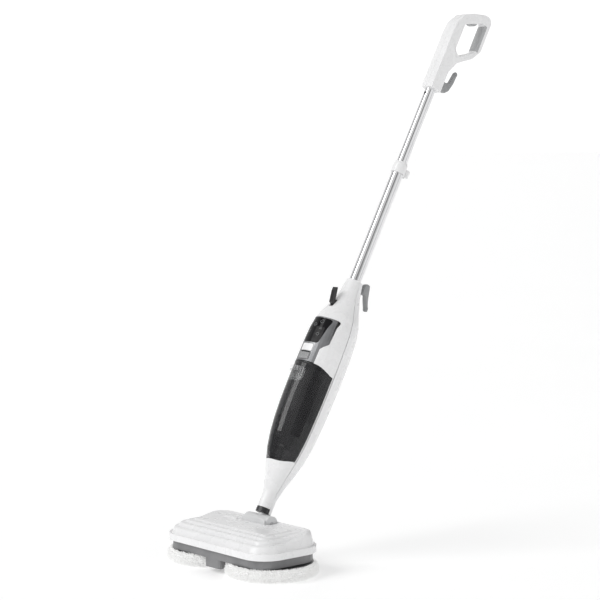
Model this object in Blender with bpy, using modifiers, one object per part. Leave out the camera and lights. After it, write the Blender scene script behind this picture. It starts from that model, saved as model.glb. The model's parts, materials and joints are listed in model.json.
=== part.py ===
"""Upright steam mop with two counter-rotating pads, as an assembly of separate named pieces.

World frame: +Z up, X across the head, the front of the mop faces -Y, floor at Z = 0.
Everything above the floor head is built in the pole frame: its origin is the lean hinge,
its Z runs up the pole, its X is the world X and its -Y is the front of the body.
"""
import math

import bmesh
import bpy
from mathutils import Vector

GAP = 0.0003                      # clearance kept between pieces that touch

# Driving dimensions, metres
HEAD_Y = -0.3004                  # head centre, so that the origin lies under the middle of the box
PAD_RADIUS = 0.090
PAD_SPACING = 0.182               # between the two spindle axes
PAD_THICKNESS = 0.018
PAD_LIP = 0.0260                   # the pad's edge stands up round the disc
DISC_RADIUS = 0.078
DISC_BOTTOM = 0.0183
DISC_TOP = 0.0222
HEAD_WIDTH = 0.318
HEAD_DEPTH = 0.166
HEAD_CORNER = 0.050
RIM_BOTTOM = 0.0445
RIM_TOP = 0.0585
COVER_WALL = 0.0024
BASE_BOTTOM = 0.0270
BASE_TOP = 0.0555
BASE_INSET = 0.0072

LEAN_DEG = 28.8                   # pole lean from vertical at rest
POLE_Y = 0.0514                   # pole frame origin behind the head centre
POLE_Z = 0.0917
HINGE_S = -0.0090                 # lean hinge, down the pole axis from that origin
KNUCKLE_R = 0.0150

BODY_WALL = 0.0022
BODY_BOTTOM = 0.0185
BODY_TOP = 0.520
TANK_BOTTOM = 0.112
TANK_TOP = 0.318
TANK_CORNER = 0.022
TANK_WALL = 0.0025
PANEL_BOTTOM = 0.3190
PANEL_TOP = 0.4185

LOWER_TUBE_R = 0.0125
UPPER_TUBE_R = 0.0110
TUBE_WALL = 0.0010
LOWER_TUBE_BOTTOM = 0.452
LOWER_TUBE_TOP = 0.786
UPPER_TUBE_BOTTOM = 0.630
UPPER_TUBE_TOP = 0.986
HANDLE_BOTTOM = 0.967
HANDLE_WALL = 0.0022

# Stations up the pole axis: height, half width, front depth, rear depth of the body's section
BODY_STATIONS = [
    (0.0185, 0.0155, 0.0165, 0.0160),
    (0.048, 0.0160, 0.0170, 0.0165),
    (0.075, 0.0230, 0.0240, 0.0250),
    (0.100, 0.0305, 0.0320, 0.0330),
    (0.125, 0.0372, 0.0405, 0.0395),
    (0.150, 0.0425, 0.0475, 0.0440),
    (0.190, 0.0465, 0.0530, 0.0475),
    (0.235, 0.0488, 0.0556, 0.0500),
    (0.290, 0.0497, 0.0558, 0.0516),
    (0.345, 0.0495, 0.0544, 0.0520),
    (0.385, 0.0482, 0.0535, 0.0502),
    (0.419, 0.0448, 0.0500, 0.0462),
    (0.449, 0.0345, 0.0365, 0.0380),
    (0.472, 0.0252, 0.0260, 0.0288),
    (0.499, 0.0192, 0.0197, 0.0218),
    (0.520, 0.0168, 0.0175, 0.0175),
]

PARTS = bpy.data.collections.new("steam_mop")
CUTTERS = bpy.data.collections.new("cutters")

PALETTE = {
    "white": ((0.86, 0.86, 0.87), 0.28, 0.0),
    "grip_grey": ((0.55, 0.56, 0.57), 0.45, 0.0),
    "light_grey": ((0.62, 0.63, 0.64), 0.35, 0.0),
    "mid_grey": ((0.23, 0.23, 0.24), 0.40, 0.0),
    "black": ((0.02, 0.02, 0.022), 0.35, 0.0),
    "black_glass": ((0.01, 0.01, 0.012), 0.06, 0.0),
    "silver": ((0.55, 0.56, 0.57), 0.30, 0.9),
    "chrome": ((0.80, 0.80, 0.82), 0.08, 1.0),
    "steel": ((0.60, 0.60, 0.62), 0.30, 1.0),
    "smoked": ((0.06, 0.06, 0.07), 0.08, 0.0),
    "clear_grey": ((0.70, 0.71, 0.72), 0.10, 0.0),
    "board_green": ((0.03, 0.20, 0.08), 0.50, 0.0),
    "rubber": ((0.03, 0.03, 0.03), 0.70, 0.0),
    "microfibre": ((0.90, 0.90, 0.90), 0.95, 0.0),
}


def clear_scene():
    for obj in list(bpy.data.objects):
        bpy.data.objects.remove(obj, do_unlink=True)
    bpy.context.scene.collection.children.link(PARTS)
    bpy.context.scene.collection.children.link(CUTTERS)


def make_material(node_name, finish):
    color, roughness, metallic = PALETTE[finish]
    material = bpy.data.materials.new(node_name + "_finish")
    material.use_nodes = True
    shader = material.node_tree.nodes["Principled BSDF"]
    shader.inputs["Base Color"].default_value = (*color, 1.0)
    shader.inputs["Roughness"].default_value = roughness
    shader.inputs["Metallic"].default_value = metallic
    return material


def make_empty(name, location, rotation=(0, 0, 0), parent=None):
    empty = bpy.data.objects.new(name, None)
    empty.location = location
    empty.rotation_euler = rotation
    empty.parent = parent
    PARTS.objects.link(empty)
    return empty


def add_part(name, mesh, finish, parent, location=(0, 0, 0), rotation=(0, 0, 0), smooth=30):
    """Links a finished mesh as one named piece of the mop."""
    obj = bpy.data.objects.new(name, mesh)
    obj.location = location
    obj.rotation_euler = rotation
    obj.parent = parent
    PARTS.objects.link(obj)
    mesh.materials.clear()
    mesh.materials.append(make_material(name, finish))
    mesh.shade_smooth()
    mesh.set_sharp_from_angle(angle=math.radians(smooth))
    return obj


def add_cutter(name, mesh, parent, location=(0, 0, 0), rotation=(0, 0, 0)):
    obj = bpy.data.objects.new(name, mesh)
    obj.location = location
    obj.rotation_euler = rotation
    obj.parent = parent
    obj.hide_render = True
    obj.display_type = "WIRE"
    CUTTERS.objects.link(obj)
    return obj


def boolean(obj, cutter, operation="DIFFERENCE"):
    modifier = obj.modifiers.new(operation.lower(), "BOOLEAN")
    modifier.operation = operation
    modifier.object = cutter
    modifier.solver = "EXACT"
    return modifier


def solidify(obj, thickness, offset=-1.0):
    modifier = obj.modifiers.new("wall", "SOLIDIFY")
    modifier.thickness = thickness
    modifier.offset = offset
    modifier.use_even_offset = True
    return modifier


def bevel(obj, width, segments=2, angle=40):
    modifier = obj.modifiers.new("round", "BEVEL")
    modifier.width = width
    modifier.segments = segments
    modifier.limit_method = "ANGLE"
    modifier.angle_limit = math.radians(angle)
    modifier.use_clamp_overlap = True
    return modifier


# ---------------------------------------------------------------- mesh builders

def mesh_from(bm, name, recalc=True):
    if recalc:
        bmesh.ops.recalc_face_normals(bm, faces=bm.faces)
    mesh = bpy.data.meshes.new(name)
    bm.to_mesh(mesh)
    bm.free()
    return mesh


def box_mesh(size, center=(0, 0, 0)):
    bm = bmesh.new()
    bmesh.ops.create_cube(bm, size=1.0)
    bmesh.ops.scale(bm, vec=Vector(size), verts=bm.verts)
    bmesh.ops.translate(bm, vec=Vector(center), verts=bm.verts)
    return mesh_from(bm, "box")


def cylinder_mesh(radius, z0, z1, segments=24, radius_top=None):
    bm = bmesh.new()
    top = radius if radius_top is None else radius_top
    bmesh.ops.create_cone(bm, cap_ends=True, segments=segments, radius1=radius, radius2=top,
                          depth=z1 - z0)
    bmesh.ops.translate(bm, vec=(0, 0, (z0 + z1) / 2), verts=bm.verts)
    return mesh_from(bm, "cylinder")


def turned_part(name, profile, finish, parent, location=(0, 0, 0), rotation=(0, 0, 0), steps=32):
    """A turned piece: the (radius, height) profile runs down the outer side, then back if it is a ring."""
    bm = bmesh.new()
    verts = [bm.verts.new((r, 0, z)) for r, z in profile]
    for a, b in zip(verts, verts[1:]):
        bm.edges.new((a, b))
    if profile[0][0] > 0:
        bm.edges.new((verts[-1], verts[0]))
    mesh = bpy.data.meshes.new(name)
    bm.to_mesh(mesh)
    bm.free()
    obj = add_part(name, mesh, finish, parent, location, rotation)
    screw = obj.modifiers.new("turn", "SCREW")
    screw.angle = math.tau
    screw.steps = steps
    screw.render_steps = steps
    screw.use_merge_vertices = True
    screw.merge_threshold = 0.00001
    screw.use_smooth_shade = False
    return obj


def ring_profile(inner, outer, z0, z1):
    return [(outer, z1), (outer, z0), (inner, z0), (inner, z1)]


def rounded_outline(corners, steps=5):
    """Corner points (x, y, radius) in order become a polygon with each corner turned into an arc."""
    points = []
    count = len(corners)
    for i, (x, y, radius) in enumerate(corners):
        here = Vector((x, y))
        before = (Vector(corners[i - 1][:2]) - here).normalized()
        after = (Vector(corners[(i + 1) % count][:2]) - here).normalized()
        if radius <= 0:
            points.append(here)
            continue
        half = before.angle(after) / 2
        center = here + (before + after).normalized() * (radius / math.sin(half))
        start = here + before * (radius / math.tan(half)) - center
        end = here + after * (radius / math.tan(half)) - center
        sweep = start.angle_signed(end)
        for k in range(steps + 1):
            turn = -sweep * k / steps
            c, s = math.cos(turn), math.sin(turn)
            points.append(center + Vector((start.x * c - start.y * s, start.x * s + start.y * c)))
    return points


def prism_mesh(outline, low, high, plane="XZ"):
    """The outline extruded from low to high: plane XZ goes along Y, XY along Z, YZ along X."""
    lift = {"XZ": lambda p, d: (p[0], d, p[1]),
            "XY": lambda p, d: (p[0], p[1], d),
            "YZ": lambda p, d: (d, p[0], p[1])}[plane]
    bm = bmesh.new()
    face = bm.faces.new([bm.verts.new(lift(p, low)) for p in outline])
    grown = bmesh.ops.extrude_face_region(bm, geom=[face])
    moved = [v for v in grown["geom"] if isinstance(v, bmesh.types.BMVert)]
    shift = Vector(lift((0, 0), high - low))
    bmesh.ops.translate(bm, vec=shift, verts=moved)
    return mesh_from(bm, "prism")


def loft_mesh(rings, closed=True, caps=True):
    """Bridges rings of equal length; closed rings with caps make a solid, open ones a sheet.

    Closed rings run anticlockwise seen from above and the body's open ones clockwise, so that both
    kinds of sheet face outward.
    """
    bm = bmesh.new()
    rows = [[bm.verts.new(p) for p in ring] for ring in rings]
    count = len(rows[0])
    last = count if closed else count - 1
    for low, high in zip(rows, rows[1:]):
        for i in range(last):
            j = (i + 1) % count
            quad = (low[i], low[j], high[j], high[i])
            bm.faces.new(quad if closed else tuple(reversed(quad)))
    if closed and caps:
        bm.faces.new(list(reversed(rows[0])))
        bm.faces.new(rows[-1])
    return mesh_from(bm, "loft", recalc=closed and caps)


def tube_part(name, points, radius, finish, parent, resolution=2):
    curve = bpy.data.curves.new(name, "CURVE")
    curve.dimensions = "3D"
    curve.bevel_depth = radius
    curve.bevel_resolution = resolution
    curve.use_fill_caps = True
    spline = curve.splines.new("POLY")
    spline.points.add(len(points) - 1)
    for point, place in zip(spline.points, points):
        point.co = (*place, 1.0)
    obj = bpy.data.objects.new(name, curve)
    obj.parent = parent
    PARTS.objects.link(obj)
    curve.materials.append(make_material(name, finish))
    return obj


def screw_part(name, parent, location, rotation=(0, 0, 0), length=0.010, head=0.0028, shank=0.0014):
    """A pan-head screw with its head at the origin and its shank running down."""
    profile = [(0, 0.0), (head * 0.8, 0.0), (head, -0.0007), (head, -0.0018), (shank, -0.0018),
               (shank, -length), (0, -length - 0.0008)]
    return turned_part(name, profile, "steel", parent, location, rotation, steps=12)


# ---------------------------------------------------------------- body section

def smooth_station(height):
    """Half width, front and rear depth of the body at a height, through the stations smoothly."""
    rows = BODY_STATIONS
    if height <= rows[0][0]:
        return rows[0][1:]
    if height >= rows[-1][0]:
        return rows[-1][1:]
    i = max(k for k in range(len(rows) - 1) if rows[k][0] <= height)
    low, high = rows[i], rows[i + 1]
    before = rows[i - 1] if i > 0 else low
    after = rows[i + 2] if i + 2 < len(rows) else high
    span = high[0] - low[0]
    u = (height - low[0]) / span
    out = []
    for k in (1, 2, 3):
        m0 = (high[k] - before[k]) / max(high[0] - before[0], 1e-6) * span
        m1 = (after[k] - low[k]) / max(after[0] - low[0], 1e-6) * span
        out.append((2 * u**3 - 3 * u**2 + 1) * low[k] + (u**3 - 2 * u**2 + u) * m0
                   + (-2 * u**3 + 3 * u**2) * high[k] + (u**3 - u**2) * m1)
    return tuple(out)


def body_ring(height, start, end, count, inset=0.0):
    """Points round the body's section: 0 degrees is +X, 90 is the front, 270 the rear."""
    half, front, rear = smooth_station(height)
    ring = []
    for k in range(count):
        angle = math.radians(start + (end - start) * k / (count - 1))
        depth = front if math.sin(angle) >= 0 else rear
        ring.append(Vector(((half - inset) * math.cos(angle), -(depth - inset) * math.sin(angle),
                            height)))
    return ring


def heights(low, high, step=0.020):
    """Heights from low to high about a step apart, both ends included."""
    count = max(2, round((high - low) / step) + 1)
    return [low + (high - low) * k / (count - 1) for k in range(count)]


def half_shell_mesh(low, high, front=True, count=16, step=0.030):
    """One open sheet over the front or rear half of the body."""
    start, end = (1.0, 179.0) if front else (181.0, 359.0)
    rings = [body_ring(z, start, end, count) for z in heights(low, high, step)]
    return loft_mesh(rings, closed=False)


def half_ring(z, inset, back, count):
    """The front half of the section, closed by a flat back at Y = -back."""
    return [Vector((p.x, min(p.y, -back), p.z)) for p in body_ring(z, 0.0, 180.0, count, inset)]


def half_solid_mesh(low, high, inset, back, count=16, step=0.030):
    """A closed front half of the body, its flat back at Y = -back."""
    return loft_mesh([half_ring(z, inset, back, count) for z in heights(low, high, step)])


def tank_core_mesh(wall, back, count=16):
    """The tank's water space: the body's front half, a wall thickness in, with rounded ends."""
    low, high, round_end = TANK_BOTTOM + wall, TANK_TOP - wall - 0.0004, 0.016
    rings = []
    for k in range(4):
        angle = math.radians(30 * k)
        rings.append((low + round_end * (1 - math.cos(angle)), wall + round_end * (1 - math.sin(angle))))
    rings += [(z, wall) for z in heights(low + round_end, high - round_end, 0.030)[1:-1]]
    for k in range(3, -1, -1):
        angle = math.radians(30 * k)
        rings.append((high - round_end * (1 - math.cos(angle)), wall + round_end * (1 - math.sin(angle))))
    sections = []
    for z, inset in rings:
        depth = smooth_station(z)[1] - inset
        squash = (depth - back) / depth
        sections.append([Vector((p.x, p.y * squash - back, z))
                         for p in body_ring(z, 0.0, 180.0, count, inset)])
    return loft_mesh(sections)


def tank_outline(inset):
    low, high = TANK_BOTTOM + inset, TANK_TOP - inset
    corner = TANK_CORNER - inset
    wide_low, wide_high = 0.0430 - inset, 0.0530 - inset
    broad = corner + 0.008
    return rounded_outline([(-wide_low, low, broad), (wide_low, low, broad),
                            (wide_high, high, corner), (-wide_high, high, corner)], steps=7)


def panel_outline(inset, bottom=PANEL_BOTTOM):
    """The bezel: broad round the display, waisted round the buttons below it."""
    a, b = 0.0380 - inset, 0.0275 - inset
    top, bottom = PANEL_TOP - inset, bottom + inset
    return rounded_outline([(-b, bottom, 0), (b, bottom, 0), (b, 0.3500, 0.006), (a, 0.3650, 0.006),
                            (a, top, 0.005), (-a, top, 0.005), (-a, 0.3650, 0.006),
                            (-b, 0.3500, 0.006)], steps=3)


def glass_outline(inset):
    a, b = 0.0292 - inset, 0.0205 - inset
    top, bottom = 0.4160 - inset, 0.3600 + inset
    return rounded_outline([(-b, bottom, 0.006), (b, bottom, 0.006), (a, top, 0.005),
                            (-a, top, 0.005)], steps=3)


def rect_outline(half, low, high, radius, steps=3):
    return rounded_outline([(-half, low, radius), (half, low, radius), (half, high, radius),
                            (-half, high, radius)], steps=steps)


def panel_piece(name, outline, lift, thickness, finish, parent, pivot=(0, 0, 0)):
    """A curved piece of the panel: a strip of the body's front, cut out by an outline."""
    rings = [[p + Vector((0, -lift, 0)) - Vector(pivot) for p in body_ring(z, 40, 140, 14)]
             for z in heights(PANEL_BOTTOM - 0.004, PANEL_TOP + 0.004, 0.030)]
    obj = add_part(name, loft_mesh(rings, closed=False), finish, parent, pivot)
    solidify(obj, thickness)
    cutter = add_cutter(name + "_outline", prism_mesh(outline, -0.075, -0.020), parent)
    boolean(obj, cutter, "INTERSECT")
    return obj


# ---------------------------------------------------------------- head

def head_ring(inset, z, steps=4):
    half_x, half_y = HEAD_WIDTH / 2 - inset, HEAD_DEPTH / 2 - inset
    corner = max(HEAD_CORNER - inset, 0.006)
    outline = rounded_outline([(-half_x, -half_y, corner), (half_x, -half_y, corner),
                               (half_x, half_y, corner), (-half_x, half_y, corner)], steps=steps)
    return [Vector((p[0], p[1], z)) for p in outline]


# Inset, height at the front and height at the rear: terraces in front, a steep wall behind
COVER_ROWS = [
    (0.0, RIM_BOTTOM, RIM_BOTTOM), (0.0, RIM_TOP - 0.0015, RIM_TOP - 0.0015),
    (0.0014, RIM_TOP, RIM_TOP), (0.0048, RIM_TOP, 0.0600), (0.0100, 0.0680, 0.0790),
    (0.0125, 0.0697, 0.0840), (0.0200, 0.0716, 0.0862), (0.0225, 0.0765, 0.0855),
    (0.0245, 0.0776, 0.0838), (0.0340, 0.0786, 0.0834), (0.0365, 0.0813, 0.0834),
    (0.0480, 0.0824, 0.0838), (0.0505, 0.0845, 0.0845), (0.0700, 0.0850, 0.0850),
]


def cover_ring(inset, front, rear):
    """A ring of the cover whose height runs smoothly from front to rear."""
    ring = []
    for p in head_ring(inset, 0.0):
        u = min(max((p.y + 0.020) / 0.080, 0.0), 1.0)
        ring.append(Vector((p.x, p.y, front + (rear - front) * u * u * (3 - 2 * u))))
    return ring


def build_head(root):
    rings = [cover_ring(*row) for row in COVER_ROWS]
    bm = bmesh.new()
    bm.from_mesh(loft_mesh(rings, closed=True, caps=False))
    boundary = [e for e in bm.edges if e.is_boundary and e.verts[0].co.z > 0.075]
    bmesh.ops.edgenet_fill(bm, edges=boundary)
    bmesh.ops.recalc_face_normals(bm, faces=bm.faces)
    top = max(bm.faces, key=lambda f: f.calc_center_median().z)
    if top.normal.z < 0:
        bmesh.ops.reverse_faces(bm, faces=bm.faces)
    cover = add_part("head_cover", mesh_from(bm, "head_cover", recalc=False), "white", root)
    solidify(cover, COVER_WALL)
    hinge_y = POLE_Y + HINGE_S * math.sin(math.radians(LEAN_DEG))
    hinge_z = POLE_Z + HINGE_S * math.cos(math.radians(LEAN_DEG))
    bay = add_cutter("knuckle_bay", box_mesh((0.0745, 0.0390, 0.0600), (0, hinge_y, 0.080)), root)
    boolean(cover, bay)
    boolean(cover, add_cutter("lean_slot", box_mesh((0.0440, 0.0600, 0.0600), (0, 0.090, 0.100)), root))

    base = add_part("head_base", loft_mesh([head_ring(BASE_INSET, z) for z in (BASE_BOTTOM, BASE_TOP)]),
                    "mid_grey", root)
    hollow = loft_mesh([head_ring(BASE_INSET + COVER_WALL, z)
                        for z in (BASE_BOTTOM + 0.0025, BASE_TOP + 0.01)])
    boolean(base, add_cutter("base_hollow", hollow, root))
    for side, sign in (("left", -1), ("right", 1)):
        x = sign * PAD_SPACING / 2
        boolean(base, add_cutter(side + "_bearing_seat", cylinder_mesh(0.0088, 0.02, 0.035), root,
                                 (x, 0, 0)))
        turned_part(side + "_motor", [(0, 0.0700), (0.0060, 0.0700), (0.0060, 0.0685),
                                      (0.0175, 0.0685), (0.0175, 0.0400), (0.0150, 0.0395),
                                      (0.0150, 0.0320), (0, 0.0320)], "steel", root, (x, 0, 0))
        turned_part(side + "_bearing", ring_profile(0.0048, 0.0085, 0.0273, 0.0293), "steel", root,
                    (x, 0, 0), steps=24)
        turned_part(side + "_spindle", [(0, 0.0315), (0.0045, 0.0315), (0.0045, 0.0188),
                                        (0, 0.0188)], "steel", root, (x, 0, 0), steps=16)
        turned_part(side + "_disc", [(0.0085, 0.0238), (0.0095, DISC_TOP), (DISC_RADIUS, DISC_TOP),
                                     (DISC_RADIUS, DISC_BOTTOM), (0.0048, DISC_BOTTOM),
                                     (0.0048, 0.0238)], "mid_grey", root, (x, 0, 0), steps=36)
        r, t = PAD_RADIUS, PAD_THICKNESS
        turned_part(side + "_pad", [(0, t), (DISC_RADIUS + 0.0006, t), (DISC_RADIUS + 0.0010, PAD_LIP - 0.001),
                                    (DISC_RADIUS + 0.0030, PAD_LIP), (r - 0.0040, PAD_LIP - 0.001),
                                    (r - 0.0005, t), (r, t - 0.007), (r - 0.002, 0.004), (r - 0.008, 0),
                                    (0, 0)], "microfibre", root, (x, 0, 0), steps=36)
    for name, sign in (("front_nozzle", -1), ("rear_nozzle", 1)):
        corners = [(-0.030, sign * 0.0750, 0.006), (0.030, sign * 0.0750, 0.006),
                   (0.011, sign * 0.0500, 0.004), (-0.011, sign * 0.0500, 0.004)]
        nozzle = add_part(name, prism_mesh(rounded_outline(corners, 3), 0.0090, BASE_BOTTOM - GAP, "XY"),
                          "mid_grey", root)
        boolean(nozzle, add_cutter(name + "_hole", cylinder_mesh(0.0020, 0.0, 0.0180, 12), root,
                                   (0, sign * 0.066, 0)))
    for k in range(3):
        y = -0.030 + 0.030 * k
        boolean(base, add_cutter(f"base_screw_hole_{k + 1}", cylinder_mesh(0.0018, 0.02, 0.035, 12),
                                 root, (0, y, 0)))
        screw_part(f"base_screw_{k + 1}", root, (0, y, BASE_BOTTOM - 0.0023), (math.pi, 0, 0), length=0.0080)

    ear = [(hinge_y + KNUCKLE_R * math.cos(math.radians(a)), hinge_z + KNUCKLE_R * math.sin(math.radians(a)))
           for a in range(0, 181, 12)]
    ear += [(hinge_y - KNUCKLE_R, 0.0560), (hinge_y + KNUCKLE_R, 0.0560)]
    bracket = add_part("hinge_bracket", box_mesh((0.0710, 0.0300, 0.0045), (0, hinge_y, 0.0560)),
                       "light_grey", root)
    for side, sign in (("left", -1), ("right", 1)):
        low, high = sorted((sign * 0.0245, sign * 0.0355))
        boolean(bracket, add_cutter(side + "_ear", prism_mesh(ear, low, high, "YZ"), root), "UNION")
    bore = add_cutter("lean_bore", cylinder_mesh(0.0043, -0.05, 0.05), root, (0, hinge_y, hinge_z),
                      (0, math.pi / 2, 0))
    boolean(bracket, bore)
    turned_part("lean_pin", [(0, 0.0350), (0.0040, 0.0350), (0.0040, -0.0350), (0, -0.0350)], "steel",
                root, (0, hinge_y, hinge_z), (0, math.pi / 2, 0), steps=16)


# ---------------------------------------------------------------- joint between head and body

def build_joint(pole):
    yoke = add_part("yoke", cylinder_mesh(KNUCKLE_R, -0.0242, 0.0242, 32), "light_grey", pole,
                    (0, 0, HINGE_S), (0, math.pi / 2, 0))
    stem = add_cutter("yoke_stem", cylinder_mesh(0.0095, HINGE_S, 0.0076), pole)
    boolean(yoke, stem, "UNION")
    boolean(yoke, add_cutter("yoke_bore", cylinder_mesh(0.0043, -0.05, 0.05), pole,
                             (0, 0, HINGE_S), (0, math.pi / 2, 0)))
    turned_part("swivel_pin", [(0, 0.0300), (0.0055, 0.0300), (0.0055, 0.0230), (0.0090, 0.0230),
                               (0.0090, 0.0190), (0.0055, 0.0190), (0.0055, 0.0079), (0, 0.0079)],
                "steel", pole, steps=20)
    collar = turned_part("swivel_collar", ring_profile(0.0058, 0.0128, 0.0081, 0.0182), "black", pole)
    flank = [(0.0162 * math.cos(math.radians(a)), -0.0006 - 0.0162 * math.sin(math.radians(a)))
             for a in range(0, 181, 12)]
    flank += [(0.0100 * math.cos(math.radians(a)), -0.0006 - 0.0100 * math.sin(math.radians(a)))
              for a in range(180, -1, -18)]
    boolean(collar, add_cutter("collar_front", prism_mesh(flank, 0.0081, 0.0182, "XY"), pole), "UNION")


# ---------------------------------------------------------------- body

def build_body(pole):
    tank_space = add_cutter("tank_space", prism_mesh(tank_outline(0), -0.080, 0.0), pole)

    rear = add_part("rear_cover", half_shell_mesh(0.0090, BODY_TOP - 0.001, front=False),
                    "white", pole)
    solidify(rear, BODY_WALL)
    boolean(rear, add_cutter("gland_hole", cylinder_mesh(0.0062, -0.01, 0.02), pole,
                             (0, 0.040, 0.436), (-math.pi / 2, 0, 0)))
    boolean(rear, add_cutter("hook_pin_hole", cylinder_mesh(0.0033, -0.01, 0.01, 16), pole,
                             (0, 0.018, 0.510), (-math.pi / 2, 0, 0)))

    upper = add_part("upper_front_cover", half_shell_mesh(0.285, BODY_TOP - 0.001), "white", pole)
    solidify(upper, BODY_WALL)
    boolean(upper, tank_space)
    boolean(upper, add_cutter("panel_space", prism_mesh(panel_outline(0, 0.312), -0.08, -0.02), pole))
    boolean(upper, add_cutter("lever_slot", box_mesh((0.0106, 0.030, 0.0170), (0, -0.035, 0.4560)),
                              pole))

    lower = add_part("lower_front_cover", half_shell_mesh(BODY_BOTTOM, 0.150), "white", pole)
    solidify(lower, BODY_WALL)
    boolean(lower, tank_space)

    plate = add_part("tank_bay_plate", prism_mesh(tank_outline(0.0006), -0.0030, -0.0012), "white", pole)
    boolean(plate, add_cutter("bay_limit", half_solid_mesh(0.10, 0.33, 0.0003, 0.0005), pole),
            "INTERSECT")
    seat = add_part("tank_seat", half_solid_mesh(0.1035, 0.1065, 0.0032, 0.0036), "mid_grey", pole)
    boolean(seat, add_cutter("seat_port", cylinder_mesh(0.0050, 0.09, 0.12, 16), pole, (0, -0.016, 0)))
    add_part("bay_roof", half_solid_mesh(0.3215, 0.3240, 0.0060, 0.0036), "mid_grey", pole)

    bezel = panel_piece("panel_bezel", panel_outline(GAP), 0.0, 0.0022, "silver", pole)
    bezel_cuts = (("glass_space", glass_outline(0)), ("start_space", rect_outline(0.0148, 0.3405, 0.3562, 0.003)),
                  ("latch_space", rect_outline(0.0148, 0.3218, 0.3396, 0.002)))
    for name, outline in bezel_cuts:
        boolean(bezel, add_cutter(name, prism_mesh(outline, -0.075, -0.020), pole))
    panel_piece("display_glass", glass_outline(GAP), 0.0, 0.0018, "black_glass", pole)
    panel_piece("start_button", rect_outline(0.0145, 0.3408, 0.3559, 0.0027), 0.0014, 0.0030, "white",
                pole)
    panel_piece("tank_latch", rect_outline(0.0145, 0.3221, 0.3372, 0.0017), 0.0014, 0.0030,
                "light_grey", pole)
    add_part("control_board", box_mesh((0.056, 0.0016, 0.060), (0, -0.0335, 0.375)), "board_green", pole)

    turned_part("tube_socket", ring_profile(0.0128, 0.0140, 0.448, 0.5175), "light_grey", pole)
    turned_part("steam_boiler", [(0, 0.302), (0.006, 0.302), (0.007, 0.296), (0.0195, 0.294),
                                 (0.0205, 0.288), (0.0205, 0.210), (0.0195, 0.204),
                                 (0.007, 0.202), (0.006, 0.198), (0, 0.198)], "steel", pole,
                (0, 0.0242, 0), steps=28)
    turned_part("water_pump", [(0, 0.194), (0.003, 0.194), (0.003, 0.188), (0.0110, 0.188),
                               (0.0120, 0.184), (0.0120, 0.156), (0.0110, 0.152), (0, 0.152)],
                "black", pole, (0.0165, 0.0205, 0), steps=20)
    tube_part("steam_pipe", steam_route(), 0.0030, "rubber", pole)
    turned_part("cord_gland", [(0, 0.0070), (0.0040, 0.0070), (0.0055, 0.0040), (0.0058, -0.0060),
                               (0, -0.0060)], "rubber", pole, (0, 0.0410, 0.436),
                (-math.pi / 2, 0, 0), steps=20)
    for k, (height, depth) in enumerate(((0.137, 0.0422), (0.362, 0.0512))):
        boolean(rear, add_cutter(f"body_screw_hole_{k + 1}", cylinder_mesh(0.0033, -0.01, 0.01, 16),
                                 pole, (0, depth, height), (-math.pi / 2, 0, 0)))
        screw_part(f"body_screw_{k + 1}", pole, (0, depth - 0.0010, height), (-math.pi / 2, 0, 0))
    build_lever(pole)
    build_lower_hook(pole)


def steam_route():
    """From the boiler's outlet past the pump, then down the middle of the neck."""
    stops = [Vector(p) for p in ((-0.010, 0.0242, 0.1965), (-0.0165, 0.0205, 0.175),
                                 (-0.0150, 0.0170, 0.140), (-0.0070, 0.0110, 0.100),
                                 (0.0, 0.0020, 0.060), (0.0, 0.0, 0.034))]
    points = []
    for i in range(len(stops) - 1):
        before = stops[max(i - 1, 0)]
        after = stops[min(i + 2, len(stops) - 1)]
        for k in range(4):
            u = k / 4
            a, b = stops[i], stops[i + 1]
            m0, m1 = (b - before) / 2, (after - a) / 2
            points.append((2 * u**3 - 3 * u**2 + 1) * a + (u**3 - 2 * u**2 + u) * m0
                          + (-2 * u**3 + 3 * u**2) * b + (u**3 - u**2) * m1)
    return points + [stops[-1]]


LEVER_PIVOT = (0.0, -0.0262, 0.4560)


def build_lever(pole):
    """The tube release lever: a thumb tongue on a cross pin under the shoulder of the front cover."""
    px, py, pz = LEVER_PIVOT
    profile = [(-0.0228, 0.4525, 0.001), (-0.0330, 0.4515, 0.001), (-0.0405, 0.4550, 0.001),
               (-0.0455, 0.4790, 0.001), (-0.0450, 0.4860, 0.001), (-0.0400, 0.4880, 0.001),
               (-0.0375, 0.4790, 0.001), (-0.0335, 0.4615, 0.002), (-0.0228, 0.4595, 0.001)]
    outline = [(y - py, z - pz) for y, z in rounded_outline(profile, 2)]
    lever = add_part("release_lever", prism_mesh(outline, -0.0045, 0.0045, "YZ"), "black", pole,
                     LEVER_PIVOT)
    boolean(lever, add_cutter("lever_bore", cylinder_mesh(0.0016, -0.02, 0.02, 16), pole, LEVER_PIVOT,
                              (0, math.pi / 2, 0)))
    turned_part("lever_pin", [(0, 0.0100), (0.0013, 0.0100), (0.0013, -0.0100), (0, -0.0100)], "steel",
                pole, LEVER_PIVOT, (0, math.pi / 2, 0), steps=12)


LOWER_HOOK_PIVOT = (0.0, 0.0240, 0.5100)
UPPER_HOOK_PIVOT = (0.0, 0.0200, 0.9860)


def hook_part(name, pivot, arm, pin_end, finish, pole):
    """A cord hook on a pin along Y: a pad on the pin and a flared arm, all one moulding."""
    px, py, pz = pivot
    outline = [(y - py, z - pz) for y, z in rounded_outline(arm, 3)]
    hook = add_part(name, prism_mesh(outline, -0.0050, 0.0050, "YZ"), finish, pole, pivot)
    bevel(hook, 0.0016, segments=1, angle=60)
    pin = add_cutter(name + "_pin", cylinder_mesh(0.0030, pin_end - py, 0.006, 16), pole, pivot,
                     (-math.pi / 2, 0, 0))
    boolean(hook, pin, "UNION")
    return hook


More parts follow.
